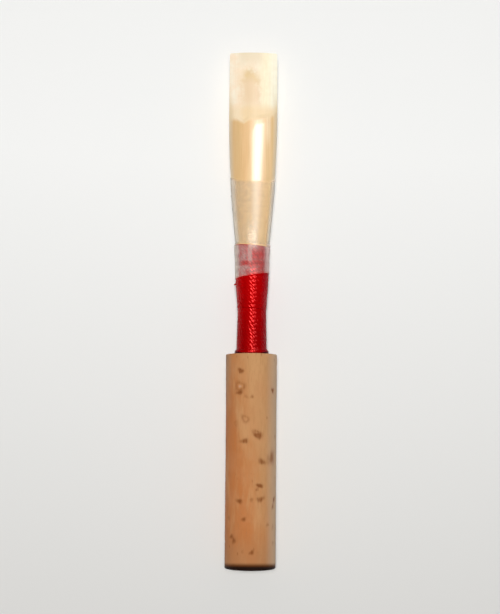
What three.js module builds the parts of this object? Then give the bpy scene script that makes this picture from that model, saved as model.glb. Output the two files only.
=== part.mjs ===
// An oboe reed: two arched and scraped cane blades, bound with thread to a corked metal staple
// and sealed with clear film. Lengths are in millimetres.
// Every piece is built upright, its heights counted from the staple's foot, and the whole reed is
// then laid on its cork: the tip points along +Y, the front blade faces up.
import * as THREE from "three";

// The whole reed
const reedLength = 72;
const seatGap = 0.02; // clearance between two pieces that lie against each other
const ringFacets = 32; // flats round a ring; half of them cross one blade

// Staple: a conical tube, round at the foot and pressed oval at the mouth
const stapleLength = 46;
const stapleFootDiameter = 5.14;
const stapleMouthWidth = 3.66;
const stapleMouthDepth = 2.52;
const stapleWall = 0.3;
const stapleBevel = 0.12; // inner edge of the foot
const ovalLength = 12; // stretch below the mouth in which the round becomes oval
const ovalSteps = 8;

// Cork sleeve, cut flush with the staple's foot
const corkLength = 29;
const corkDiameter = 7.05;
const corkEdge = 0.18; // broken edge at both ends

// Cane blades
const bladeWidth = 6.8; // at the widest, where the lay begins
const throatWidth = 4.68; // where the cane leaves the thread
const tipWidth = 6.74;
const tipOpening = 0.6; // height of the mouth between the two tips
const tipCorner = 0.25; // rounding of the tip's corners
const tipLand = 0.25; // how far in from the side the tips lie on each other
const caneThickness = 0.58; // in the middle of the bark
const caneOverlapShare = 0.6; // of the staple above the cork: the stretch that cane is bound onto
const buttThickness = 0.3; // shaved end of the cane, in the middle
const buttSide = 0.06; // and at its sides
const boundSide = 0.28; // side of the cane once it is past the shaved end
const buttTaperShare = 1 / 3; // of the bound cane: the length of the shaving
const buttWrap = THREE.MathUtils.degToRad(64); // half the angle that the butt covers of the staple
const closedWrap = THREE.MathUtils.degToRad(90); // the two blades meet at their sides
const sidesCloseBelowMouth = 3;
const flareExponentShare = 1.88; // how soon the outline swells above the throat
const flareEndBelowTip = 9;
const ovalCurlShare = 1; // a blade's section: half an ellipse at the staple
const tipCurlShare = 2; // and a flat parabola at the tip
const barkSteps = 7; // sections between the staple's mouth and the shoulder

// The lay, scraped from the bark
const layLength = 9.6; // from the tip, along the middle
const layRise = 1.1; // how much nearer to the tip the bark reaches at the sides
const shoulderRun = 0.7; // length of the step from bark to lay
const tipThickness = 0.1;
const railThickness = 0.36; // at the back of the lay, beside the heart
const layFallShare = 0.8; // above 0 and under 1 keeps wood behind the tip
const heartRise = 0.17; // wood left standing over the rails
const heartHalfWidth = 1.65;
const heartBelowTip = 2.3;
const heartArch = 0.9; // how far the heart's rounded end drops at its sides
const heartFade = 1;
const shoulderSteps = 6;
const heartSteps = 4;
const tipSteps = 7;

// Thread: a closed layer over cane and staple, and the turns that stand out from it
const threadBelowMouth = 1.2; // top turn to the staple's mouth
const threadLayer = 0.06;
const strandWidth = 0.22; // a strand pulled flat
const strandHeight = 0.1;
const strandSeat = 0.025; // clearance to the layer, whose flats don't line up with the turns' steps
const strandGap = 0.41;
const mostTurns = 24;
const stepsPerTurn = 24;
const strandSides = 6;
const buttRamp = 0.6; // turns that climb from the staple onto the cane
const tieOffRise = 0.15; // crossing turns at the cork
const tieOffLength = 0.8;
const throatEase = 2.4; // length in which the cane swells under the top turns

// Clear film
const filmOverThread = 4.9;
const filmOverCane = 8.7;
const filmWall = 0.04;
const filmGap = 0.04;
const filmDrop = 0.5; // length in which the film comes down from the thread to the cane
const filmSteps = 3;

// Places that follow from the sizes
const mouthHeight = stapleLength;
const caneOverlap = caneOverlapShare * (stapleLength - corkLength);
const buttTaper = buttTaperShare * caneOverlap;
const buttHeight = mouthHeight - caneOverlap;
const threadFoot = corkLength + seatGap;
const threadTop = mouthHeight - threadBelowMouth;
const throatStart = threadTop - throatEase;
const sidesClose = mouthHeight - sidesCloseBelowMouth;
const flareEnd = reedLength - flareEndBelowTip;

const mix = THREE.MathUtils.lerp;
const ramp = (value, from, to) => THREE.MathUtils.clamp((value - from) / (to - from), 0, 1);
const soft = (value, from, to) => THREE.MathUtils.smoothstep(value, from, to);

// Heights from low to high in equal steps
function stations(low, high, steps) {
  return Array.from({ length: steps + 1 }, (_, i) => mix(low, high, i / steps));
}

// A ring of points about the reed's axis. curl 1 gives an ellipse; above 1 its sides draw to an edge.
function ring(height, wide, deep, curl = 1, turned = 0) {
  return Array.from({ length: ringFacets }, (_, i) => {
    const angle = ((i + turned) / ringFacets) * 2 * Math.PI;
    const rise = Math.abs(Math.cos(angle)) ** curl * Math.sign(Math.cos(angle));
    return new THREE.Vector3(wide * Math.sin(angle), -deep * rise, height);
  });
}

// Closed skin of a wall between two stacks of rings that match point for point, from the foot up.
// A tube's wall closes round on itself; a blade's is open at its two sides.
function wallGeometry(outer, inner, closesRound) {
  const corners = [];
  const face = (a, b, c, d) => corners.push(a, b, c, a, c, d);
  const count = outer[0].length;
  const spans = closesRound ? count : count - 1;
  const top = outer.length - 1;
  for (let j = 0; j < spans; j++) {
    const k = (j + 1) % count;
    for (let i = 0; i < top; i++) {
      face(outer[i][j], outer[i][k], outer[i + 1][k], outer[i + 1][j]);
      face(inner[i][k], inner[i][j], inner[i + 1][j], inner[i + 1][k]);
    }
    face(outer[0][j], inner[0][j], inner[0][k], outer[0][k]);
    face(outer[top][j], outer[top][k], inner[top][k], inner[top][j]);
  }
  if (!closesRound) {
    const last = count - 1;
    for (let i = 0; i < top; i++) {
      face(outer[i][0], outer[i + 1][0], inner[i + 1][0], inner[i][0]);
      face(outer[i][last], inner[i][last], inner[i + 1][last], outer[i + 1][last]);
    }
  }
  return new THREE.BufferGeometry().setFromPoints(corners);
}

// Half the staple's outside at a height, across and through
function stapleAxes(height) {
  const round = mix(stapleFootDiameter / 2, (stapleMouthWidth + stapleMouthDepth) / 4, height / stapleLength);
  const pressed = soft(height, mouthHeight - ovalLength, mouthHeight);
  const squeeze = (pressed * (stapleMouthWidth - stapleMouthDepth)) / 4;
  return { wide: round + squeeze, deep: round - squeeze };
}

function stapleGeometry() {
  const heights = [0, stapleBevel, ...stations(mouthHeight - ovalLength, mouthHeight, ovalSteps)];
  const outer = heights.map((height) => {
    const { wide, deep } = stapleAxes(height);
    return ring(height, wide, deep);
  });
  const inner = heights.map((height) => {
    const { wide, deep } = stapleAxes(height);
    const wall = height > 0 ? stapleWall : stapleWall - stapleBevel;
    return ring(height, wide - wall, deep - wall);
  });
  return wallGeometry(outer, inner, true);
}

// The cork's outside has flats that stand corkDiameter apart, one of them underneath.
function corkGeometry() {
  const radius = corkDiameter / 2 / Math.cos(Math.PI / ringFacets);
  const heights = [0, corkEdge, corkLength - corkEdge, corkLength];
  const outer = heights.map((height, i) => {
    const cut = i === 0 || i === heights.length - 1 ? corkEdge : 0;
    return ring(height, radius - cut, radius - cut, 1, 0.5);
  });
  const inner = heights.map((height) => {
    const { wide, deep } = stapleAxes(height);
    return ring(height, wide + seatGap, deep + seatGap);
  });
  return wallGeometry(outer, inner, true);
}

// Share of the way from the staple's mouth to the tip
const aboveMouth = (height) => ramp(height, mouthHeight, reedLength);

const sectionCurl = (height) => mix(ovalCurlShare, tipCurlShare, aboveMouth(height));

// Half the cane's width. Bound, it stands on the staple; above the thread it flares to the lay,
// and the tip's corners are rounded.
function caneHalfWidth(height) {
  const side = mix(buttSide, boundSide, ramp(height, buttHeight, buttHeight + buttTaper));
  const bound = stapleAxes(Math.min(height, mouthHeight)).wide + seatGap + side;
  if (height < threadTop) {
    return mix(bound, throatWidth / 2, ramp(height, throatStart, threadTop));
  }
  const left = 1 - ramp(height, threadTop, flareEnd);
  const flared = mix(bladeWidth / 2, throatWidth / 2, left ** flareExponentShare);
  const drawn = ((bladeWidth - tipWidth) / 2) * ramp(height, flareEnd, reedLength);
  const beyond = Math.max(0, tipCorner - (reedLength - height));
  return flared - drawn - (tipCorner - Math.sqrt(tipCorner ** 2 - beyond ** 2));
}

// Half the hollow inside the two blades: the staple below the mouth, the windway above it
function windwayAxes(height) {
  const staple = stapleAxes(Math.min(height, mouthHeight));
  const wide = staple.wide + seatGap;
  const deep = staple.deep + seatGap;
  if (height <= mouthHeight) {
    return { wide, deep };
  }
  const land = mix(caneHalfWidth(mouthHeight) - wide, tipLand, aboveMouth(height));
  return {
    wide: caneHalfWidth(height) - land,
    deep: mix(deep, tipOpening / 2, aboveMouth(height)),
  };
}

// Wood left by the scrape at a place given from the tip and from the middle
function layThickness(fromTip, across) {
  const offMiddle = Math.abs(across) / heartHalfWidth;
  const rails = mix(tipThickness, railThickness, (fromTip / layLength) ** layFallShare);
  const heartEnd = heartBelowTip + heartArch * offMiddle ** 2;
  return rails + heartRise * (1 - soft(offMiddle, 0, 1)) * soft(fromTip, heartEnd, heartEnd + heartFade);
}

// Wood over the windway: shaved butt, full bark, then the lay behind a shoulder shaped like a U
function woodThickness(height, across) {
  const fromTip = reedLength - height;
  const bark = mix(buttThickness, caneThickness, ramp(height, buttHeight, buttHeight + buttTaper));
  const sideShare = across / (bladeWidth / 2);
  const shoulder = layLength - layRise * sideShare ** 2;
  const barkLeft = soft(fromTip, shoulder - shoulderRun / 2, shoulder + shoulderRun / 2);
  return mix(Math.min(bark, layThickness(Math.min(fromTip, layLength), across)), bark, barkLeft);
}

// Heights at which the bound cane, and the thread on it, change their taper
const boundHeights = [
  buttHeight,
  ...stations(buttHeight + buttTaper, throatStart, 2),
  ...stations(throatStart, threadTop, 2).slice(1),
];

function bladeHeights() {
  const shoulderLow = reedLength - layLength - shoulderRun;
  const shoulderHigh = reedLength - layLength + layRise + shoulderRun / 2;
  const heartHeight = reedLength - heartBelowTip - heartArch - heartFade;
  return [
    ...boundHeights,
    ...stations(mouthHeight, shoulderLow, barkSteps),
    ...stations(shoulderLow, shoulderHigh, shoulderSteps).slice(1),
    ...stations(shoulderHigh, heartHeight, heartSteps).slice(1),
    ...stations(heartHeight, reedLength - tipCorner, tipSteps).slice(1),
    reedLength - tipCorner / 4,
    reedLength,
  ];
}

// The front blade: an arch of cane whose two sides face the back blade
function bladeGeometry() {
  const across = ringFacets / 2;
  const outer = [];
  const inner = [];
  for (const height of bladeHeights()) {
    const halfWidth = caneHalfWidth(height);
    const windway = windwayAxes(height);
    const curl = sectionCurl(height);
    const wrap = mix(buttWrap, closedWrap, ramp(height, buttHeight, sidesClose));
    const outerRow = [];
    const innerRow = [];
    for (let j = 0; j <= across; j++) {
      const angle = mix(-wrap, wrap, j / across);
      const rise = Math.max(0, Math.cos(angle)) ** curl;
      const outside = halfWidth * Math.sin(angle);
      const arch = windway.deep + woodThickness(height, outside);
      outerRow.push(new THREE.Vector3(outside, -seatGap / 2 - arch * rise, height));
      innerRow.push(new THREE.Vector3(windway.wide * Math.sin(angle), -seatGap / 2 - windway.deep * rise, height));
    }
    outer.push(outerRow);
    inner.push(innerRow);
  }
  return wallGeometry(outer, inner, false);
}

// Half the outside of what the thread is wound on: the staple alone, then cane and staple
function groundAxes(height) {
  const caneHeight = Math.max(height, buttHeight);
  const cane = {
    wide: caneHalfWidth(caneHeight),
    deep: seatGap / 2 + windwayAxes(caneHeight).deep + woodThickness(caneHeight, 0),
  };
  const staple = stapleAxes(height);
  const onCane = ramp(height, buttHeight - buttRamp, buttHeight);
  return { wide: mix(staple.wide, cane.wide, onCane), deep: mix(staple.deep, cane.deep, onCane) };
}

// Heights at which the thread's layer changes its taper
const threadHeights = [threadFoot, threadFoot + tieOffLength, buttHeight - buttRamp, ...boundHeights];

// Half the outside of the thread's closed layer, thicker where it is tied off at the cork
function layerAxes(height) {
  const ground = groundAxes(height);
  const tieOff = tieOffRise * (1 - ramp(height, threadFoot, threadFoot + tieOffLength));
  const out = seatGap + threadLayer + tieOff;
  return { wide: ground.wide + out, deep: ground.deep + out };
}

// Half the outside over the crests of the turns
function crestAxes(height) {
  const layer = layerAxes(height);
  const out = strandSeat + strandHeight;
  return { wide: layer.wide + out, deep: layer.deep + out };
}

// The turns: one unbroken strand round the closed layer, with straight ends. Seen from the front,
// each turn falls to the right.
function strandRings() {
  const low = threadFoot + strandWidth;
  const high = threadTop - strandWidth;
  const turns = Math.min(mostTurns, Math.floor((high - low) / (strandWidth + strandGap)));
  const steps = turns * stepsPerTurn;
  const centres = Array.from({ length: steps + 1 }, (_, i) => {
    const angle = (i / stepsPerTurn) * 2 * Math.PI;
    const height = mix(low, high, i / steps);
    const { wide, deep } = crestAxes(height);
    const core = strandHeight / 2;
    return new THREE.Vector3((core - wide) * Math.sin(angle), (core - deep) * Math.cos(angle), height);
  });
  const end = (last, before) => last.clone().sub(before).setLength(strandWidth).add(last);
  centres.unshift(end(centres[0], centres[1]));
  centres.push(end(centres.at(-1), centres.at(-2)));
  return centres.map((centre, i) => {
    const before = centres[Math.max(i - 1, 0)];
    const after = centres[Math.min(i + 1, centres.length - 1)];
    const along = after.clone().sub(before).normalize();
    const side = new THREE.Vector3(centre.x, centre.y, 0).cross(along).normalize();
    const out = along.clone().cross(side);
    return Array.from({ length: strandSides }, (_, j) => {
      const angle = (j / strandSides) * 2 * Math.PI;
      return centre
        .clone()
        .addScaledVector(side, (strandWidth / 2) * Math.cos(angle))
        .addScaledVector(out, (strandHeight / 2) * Math.sin(angle));
    });
  });
}

// A solid rod through rings of points, closed by a fan at each end
function rodGeometry(rings) {
  const corners = [];
  for (let i = 0; i < rings.length - 1; i++) {
    for (let j = 0; j < rings[i].length; j++) {
      const k = (j + 1) % rings[i].length;
      corners.push(rings[i][j], rings[i][k], rings[i + 1][k]);
      corners.push(rings[i][j], rings[i + 1][k], rings[i + 1][j]);
    }
  }
  const first = rings[0];
  const last = rings.at(-1);
  for (let j = 1; j < first.length - 1; j++) {
    corners.push(first[0], first[j + 1], first[j]);
    corners.push(last[0], last[j], last[j + 1]);
  }
  return new THREE.BufferGeometry().setFromPoints(corners);
}

// Least distance between points of neighbouring turns
function leastTurnGap(rings) {
  let least = Infinity;
  rings.forEach((points, i) => {
    for (const other of rings.slice(i + stepsPerTurn / 2, i + 2 * stepsPerTurn)) {
      for (const point of points) {
        least = Math.min(least, ...other.map((there) => point.distanceTo(there)));
      }
    }
  });
  return least;
}

function layerGeometry() {
  const outer = threadHeights.map((height) => {
    const { wide, deep } = layerAxes(height);
    return ring(height, wide, deep);
  });
  const inner = threadHeights.map((height) => {
    const { wide, deep } = groundAxes(height);
    return ring(height, wide + seatGap, deep + seatGap);
  });
  return wallGeometry(outer, inner, true);
}

function bindingGeometry() {
  const strand = strandRings();
  console.log("thread_binding: least gap between turns " + leastTurnGap(strand).toFixed(3) + " mm");
  return rodGeometry(strand);
}

// The film lies over the top turns of the thread and comes down onto the cane.
function filmGeometry() {
  const foot = threadTop - filmOverThread;
  const top = threadTop + filmOverCane;
  const outsideAt = (height) => {
    if (height <= threadTop) {
      return crestAxes(height);
    }
    return {
      wide: caneHalfWidth(height),
      deep: seatGap / 2 + windwayAxes(height).deep + caneThickness,
    };
  };
  const overThread = threadHeights.filter((height) => height > foot);
  const heights = [foot, ...overThread, threadTop + filmDrop, ...stations(mouthHeight, top, filmSteps)];
  const skin = (out) =>
    heights.map((height) => {
      const { wide, deep } = outsideAt(height);
      return ring(height, wide + out, deep + out, sectionCurl(height));
    });
  return wallGeometry(skin(filmGap + filmWall), skin(filmGap), true);
}

// Colours and surfaces
const materials = {
  cane: { color: 0xe3c08c, roughness: 0.5, metalness: 0 },
  brass: { color: 0xc9a658, roughness: 0.3, metalness: 0.9 },
  cork: { color: 0xbd8a5c, roughness: 0.85, metalness: 0 },
  thread: { color: 0xa40d10, roughness: 0.6, metalness: 0 },
  film: { color: 0xe9e4d6, roughness: 0.35, metalness: 0, transparent: true, opacity: 0.35 },
};

function piece(name, geometry, material) {
  const mesh = new THREE.Mesh(geometry, new THREE.MeshStandardMaterial(materials[material]));
  mesh.name = name;
  mesh.geometry.computeVertexNormals();
  return mesh;
}

const reed = new THREE.Group();
const backBlade = piece("back_blade", bladeGeometry(), "cane");
backBlade.rotation.z = Math.PI;
reed.add(
  piece("staple_tube", stapleGeometry(), "brass"),
  piece("cork_sleeve", corkGeometry(), "cork"),
  piece("front_blade", bladeGeometry(), "cane"),
  backBlade,
  piece("thread_layer", layerGeometry(), "thread"),
  piece("thread_binding", bindingGeometry(), "thread"),
  piece("sealing_film", filmGeometry(), "film"),
);
reed.rotation.x = -Math.PI / 2;
reed.position.set(0, -reedLength / 2, corkDiameter / 2);

const part = new THREE.Group();
part.name = "oboe_reed";
part.add(reed);

export default part;
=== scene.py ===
import math
import random

import bpy
import numpy as np
from mathutils import Euler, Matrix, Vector, noise


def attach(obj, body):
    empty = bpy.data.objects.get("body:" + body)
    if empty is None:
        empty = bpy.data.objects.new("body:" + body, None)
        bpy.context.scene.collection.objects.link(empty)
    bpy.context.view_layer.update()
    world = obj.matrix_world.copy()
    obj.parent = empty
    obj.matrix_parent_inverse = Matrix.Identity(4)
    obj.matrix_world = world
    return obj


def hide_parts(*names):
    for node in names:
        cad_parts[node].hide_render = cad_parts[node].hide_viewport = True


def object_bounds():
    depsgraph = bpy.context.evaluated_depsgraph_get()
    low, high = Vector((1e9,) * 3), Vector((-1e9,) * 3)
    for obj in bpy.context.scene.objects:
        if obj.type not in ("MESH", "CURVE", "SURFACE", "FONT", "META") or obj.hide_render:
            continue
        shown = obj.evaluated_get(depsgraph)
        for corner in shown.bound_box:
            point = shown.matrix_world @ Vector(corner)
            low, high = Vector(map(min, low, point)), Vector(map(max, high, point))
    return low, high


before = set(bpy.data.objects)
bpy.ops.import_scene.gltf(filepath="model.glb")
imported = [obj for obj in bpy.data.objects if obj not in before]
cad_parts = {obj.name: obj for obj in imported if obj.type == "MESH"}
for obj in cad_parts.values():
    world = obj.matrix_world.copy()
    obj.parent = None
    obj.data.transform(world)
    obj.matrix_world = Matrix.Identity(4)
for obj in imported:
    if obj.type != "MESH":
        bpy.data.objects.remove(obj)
cadLow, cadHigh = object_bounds()

mm = 0.001
footAt = cadLow.y  # the staple's foot, where heights along the reed start
axisAt = (cadLow.z + cadHigh.z) / 2
reedLength = round((cadHigh.y - cadLow.y) / mm, 3)
seatGap = 0.02  # clearance between pieces that lie against each other, in mm like every size below


# Camera, as the photograph was taken; places in mm
picture = {
    "height": 614,
    "focalPixels": 1135,
    "place": (-0.26, -17.44, 160.5),
    "tilt": 6.21,  # degrees, towards the tip
    "roll": 0.42,
    "sensor": 36,
    "nearest": 10,
    "farthest": 10000,
}


def makeCamera():
    data = bpy.data.cameras.new("reedCamera")
    data.sensor_width = picture["sensor"]
    data.lens = picture["focalPixels"] / picture["height"] * picture["sensor"]
    data.clip_start = picture["nearest"] * mm
    data.clip_end = picture["farthest"] * mm
    camera = bpy.data.objects.new("reedCamera", data)
    camera.location = [value * mm for value in picture["place"]]
    turn = Euler((math.radians(picture["tilt"]), 0, 0)).to_matrix()
    roll = Euler((0, 0, math.radians(picture["roll"]))).to_matrix()
    camera.rotation_euler = (turn @ roll).to_euler()
    bpy.context.scene.collection.objects.link(camera)
    bpy.context.scene.camera = camera


makeCamera()
bpy.context.scene.view_settings.view_transform = "Standard"
print("camera placed")


# Small helpers
def mix(a, b, share):
    return a + (b - a) * share


def ramp(value, low, high):
    return min(1.0, max(0.0, (value - low) / (high - low)))


def soft(value, low, high):
    share = ramp(value, low, high)
    return share * share * (3 - 2 * share)


def stations(low, high, spacing):
    count = max(1, math.ceil((high - low) / spacing))
    return [mix(low, high, i / count) for i in range(count + 1)]


def wobble(x, y, z=0.0):
    return noise.noise(Vector((x, y, z)))


# across, height from the foot and height above the axis, to a point of the frame in metres
def toFrame(across, height, up):
    return (across * mm, footAt + height * mm, axisAt + up * mm)


# sRGB hex to the linear colour that sockets take
def paint(code, alpha=1.0):
    parts = [int(code[i : i + 2], 16) / 255 for i in (0, 2, 4)]
    return tuple(c / 12.92 if c <= 0.04045 else ((c + 0.055) / 1.055) ** 2.4 for c in parts) + (alpha,)


def makeMesh(name, points, faces, sharpAngle=40, masks=None):
    mesh = bpy.data.meshes.new(name)
    mesh.from_pydata([tuple(p) for p in points], [], faces)
    mesh.validate()
    mesh.update()
    mesh.polygons.foreach_set("use_smooth", [True] * len(mesh.polygons))
    mesh.set_sharp_from_angle(angle=math.radians(sharpAngle))
    for label, values in (masks or {}).items():
        attribute = mesh.attributes.new(label, "FLOAT", "POINT")
        attribute.data.foreach_set("value", np.asarray(values, dtype=np.float32))
    piece = bpy.data.objects.new(name, mesh)
    bpy.context.scene.collection.objects.link(piece)
    return piece


# Closed wall between two stacks of rows, listed from the foot up; a tube's inside may have fewer rows
def wallFaces(rowCount, count, closesRound, innerRows=None):
    faces = []
    inner = rowCount * count
    spans = count if closesRound else count - 1
    top, innerTop = rowCount - 1, (innerRows or rowCount) - 1
    for j in range(spans):
        k = (j + 1) % count
        for i in range(top):
            a, b = i * count, (i + 1) * count
            faces.append((a + j, a + k, b + k, b + j))
        for i in range(innerTop):
            a, b = inner + i * count, inner + (i + 1) * count
            faces.append((a + k, a + j, b + j, b + k))
        last, innerLast = top * count, inner + innerTop * count
        faces.append((j, inner + j, inner + k, k))
        faces.append((last + j, last + k, innerLast + k, innerLast + j))
    if not closesRound:
        for i in range(top):
            a, b = i * count, (i + 1) * count
            faces.append((a, b, inner + b, inner + a))
            end = count - 1
            faces.append((a + end, inner + a + end, inner + b + end, b + end))
    return faces


# Solid rod through rings of points, its ends closed
def rodFaces(ringCount, sides):
    faces = []
    for i in range(ringCount - 1):
        for j in range(sides):
            k = (j + 1) % sides
            a, b = i * sides, (i + 1) * sides
            faces.append((a + j, a + k, b + k, b + j))
    faces.append(tuple(range(sides - 1, -1, -1)))
    faces.append(tuple((ringCount - 1) * sides + j for j in range(sides)))
    return faces


grooveRounding = 0.6  # 1 leaves a grooved rod's outer face round; less makes it flatter


# Rings of points along a line; across and through are the section's half sizes
def rodRings(line, outward, across, through, sides, groove=None):
    points = []
    run = 0.0
    for i, centre in enumerate(line):
        before, after = line[max(i - 1, 0)], line[min(i + 1, len(line) - 1)]
        along = (after - before).normalized()
        side = outward[i].cross(along).normalized()
        out = along.cross(side)
        if i:
            run += (centre - line[i - 1]).length
        for j in range(sides):
            angle = 2 * math.pi * j / sides
            aside, up = across * math.cos(angle), through * math.sin(angle)
            if groove and up > 0:
                up = (through - groove(run, aside)) * math.sin(angle) ** grooveRounding
            points.append(centre + side * aside + out * up)
    return points


# Node helpers; a zone is where a value starts and ends, and what it gives at both
def connect(tree, node, inputs):
    for key, value in inputs.items():
        if isinstance(value, bpy.types.NodeSocket):
            tree.links.new(value, node.inputs[key])
        else:
            node.inputs[key].default_value = value
    return node


def put(tree, kind, inputs=None, **settings):
    node = tree.nodes.new("ShaderNode" + kind)
    for key, value in settings.items():
        setattr(node, key, value)
    return connect(tree, node, inputs or {})


def sums(tree, operation, a, b=0.0, clamp=False):
    return put(tree, "Math", {0: a, 1: b}, operation=operation, use_clamp=clamp).outputs[0]


def plus(tree, a, b, clamp=False):
    return sums(tree, "ADD", a, b, clamp)


def minus(tree, a, b):
    return sums(tree, "SUBTRACT", a, b)


def times(tree, a, b):
    return sums(tree, "MULTIPLY", a, b)


def over(tree, a, b):
    return sums(tree, "DIVIDE", a, b)


def away(tree, value, centre):
    return sums(tree, "ABSOLUTE", minus(tree, value, centre))


# How far a texture lies above or below its middle, times a strength
def swing(tree, value, strength):
    return times(tree, minus(tree, value, 0.5), strength)


def rise(tree, value, low, high, toLow=0.0, toHigh=1.0):
    ends = {"Value": value, "From Min": low, "From Max": high, "To Min": toLow, "To Max": toHigh}
    return put(tree, "MapRange", ends, interpolation_type="SMOOTHSTEP").outputs["Result"]


# Where both of two values are in their zones
def both(tree, a, zoneA, b, zoneB):
    return times(tree, rise(tree, a, *zoneA), rise(tree, b, *zoneB))


def blend(tree, share, a, b):
    return put(tree, "Mix", {0: share, 2: a, 3: b}).outputs[0]


def colours(tree, share, a, b):
    return put(tree, "Mix", {0: share, 6: a, 7: b}, data_type="RGBA").outputs[2]


# A tone laid over another where a value is in its zone
def tint(tree, tone, value, code, *zone):
    return colours(tree, rise(tree, value, *zone), tone, paint(code))


def mask(tree, name):
    return put(tree, "Attribute", attribute_name=name).outputs["Fac"]


def makeGroup(name, numbers, outputs, takesPoint=True):
    group = bpy.data.node_groups.new(name, "ShaderNodeTree")
    if takesPoint:
        group.interface.new_socket("Point", in_out="INPUT", socket_type="NodeSocketVector")
    for label, value in numbers.items():
        socket = group.interface.new_socket(label, in_out="INPUT", socket_type="NodeSocketFloat")
        socket.default_value = value
    for label in outputs:
        kind = "NodeSocketVector" if label == "Point" else "NodeSocketFloat"
        group.interface.new_socket(label, in_out="OUTPUT", socket_type=kind)
    return group, group.nodes.new("NodeGroupInput"), group.nodes.new("NodeGroupOutput")


def place(tree, group, inputs):
    return connect(tree, put(tree, "Group", node_tree=group), inputs)


# Shared effects
# Where a point lies on the reed, in mm: across, height from the foot, rise above the axis
def makePlaceGroup():
    group, _, out = makeGroup("placeOnReed", {}, ("Point", "Across", "Height", "Rise"), takesPoint=False)
    spot = put(group, "TexCoord").outputs["Object"]
    centred = put(group, "VectorMath", {0: spot, 1: (0, footAt, axisAt)}, operation="SUBTRACT").outputs[0]
    point = put(group, "VectorMath", {0: centred, 3: 1 / mm}, operation="SCALE").outputs[0]
    parts = put(group, "SeparateXYZ", {0: point})
    group.links.new(point, out.inputs["Point"])
    for index, label in enumerate(("Across", "Height", "Rise")):
        group.links.new(parts.outputs[index], out.inputs[label])
    return group


# Streaks that run along the reed: fibres of cane, growth lines of cork
def makeGrainGroup():
    numbers = {"Width": 0.2, "Length": 8.0, "Seed": 0.0, "Contrast": 1.0}
    group, given, out = makeGroup("longGrain", numbers, ("Streaks",))
    parts = put(group, "SeparateXYZ", {0: given.outputs["Point"]})
    x = over(group, parts.outputs[0], given.outputs["Width"])
    z = over(group, parts.outputs[2], given.outputs["Width"])
    y = over(group, parts.outputs[1], given.outputs["Length"])
    y = plus(group, y, given.outputs["Seed"])
    drawn = put(group, "CombineXYZ", {0: x, 1: y, 2: z}).outputs[0]
    settings = {"Vector": drawn, "Scale": 1.0, "Detail": 3.0, "Roughness": 0.6}
    grain = put(group, "TexNoise", settings).outputs["Fac"]
    streaks = plus(group, swing(group, grain, given.outputs["Contrast"]), 0.5, clamp=True)
    group.links.new(streaks, out.inputs["Streaks"])
    return group


# Uneven patches, such as sun on cane, soiling on cork or thickness of film
def makePatchGroup():
    numbers = {"Size": 2.0, "Seed": 0.0, "Low": 0.4, "High": 0.6}
    group, given, out = makeGroup("patches", numbers, ("Patches",))
    moved = put(group, "CombineXYZ", {0: given.outputs["Seed"], 1: given.outputs["Seed"], 2: 0.0}).outputs[0]
    point = put(group, "VectorMath", {0: given.outputs["Point"], 1: moved}, operation="ADD").outputs[0]
    scale = over(group, 1.0, given.outputs["Size"])
    settings = {"Vector": point, "Scale": scale, "Detail": 2.5, "Roughness": 0.55}
    cloud = put(group, "TexNoise", settings).outputs["Fac"]
    patches = rise(group, cloud, given.outputs["Low"], given.outputs["High"])
    group.links.new(patches, out.inputs["Patches"])
    return group


# Small dark or pale flecks scattered over a surface
def makeFleckGroup():
    numbers = {"Spacing": 0.6, "Stretch": 2.0, "Size": 0.25, "Share": 0.5}
    group, given, out = makeGroup("flecks", numbers, ("Flecks",))
    parts = put(group, "SeparateXYZ", {0: given.outputs["Point"]})
    y = over(group, parts.outputs[1], given.outputs["Stretch"])
    drawn = put(group, "CombineXYZ", {0: parts.outputs[0], 1: y, 2: parts.outputs[2]}).outputs[0]
    scale = over(group, 1.0, given.outputs["Spacing"])
    cells = put(group, "TexVoronoi", {"Vector": drawn, "Scale": scale, "Randomness": 1.0})
    near = rise(group, cells.outputs["Distance"], given.outputs["Size"], 0.0)
    pick = put(group, "SeparateColor", {0: cells.outputs["Color"]}).outputs[0]
    kept = sums(group, "LESS_THAN", pick, given.outputs["Share"])
    group.links.new(times(group, near, kept), out.inputs["Flecks"])
    return group


placeGroup, grainGroup = makePlaceGroup(), makeGrainGroup()
patchGroup, fleckGroup = makePatchGroup(), makeFleckGroup()


# Point, across, height and rise of what is being painted
def whereOnReed(tree):
    return list(place(tree, placeGroup, {}).outputs)


def effect(tree, group, point, **values):
    inputs = {"Point": point} | {label.capitalize(): value for label, value in values.items()}
    return place(tree, group, inputs).outputs[0]


# A fresh material with its Principled shader
def startMaterial(name, **plain):
    material = bpy.data.materials.new(name)
    material.use_nodes = True
    tree = material.node_tree
    tree.nodes.clear()
    shader = put(tree, "BsdfPrincipled")
    tree.links.new(shader.outputs[0], put(tree, "OutputMaterial").inputs["Surface"])
    feed(tree, shader, **plain)
    return material, tree, shader


def feed(tree, shader, **sources):
    connect(tree, shader, {label.replace("_", " "): source for label, source in sources.items()})


def bump(tree, height, distance):
    return put(tree, "Bump", {"Height": height, "Distance": distance * mm}).outputs["Normal"]


print("helpers and shared effects ready")


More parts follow.
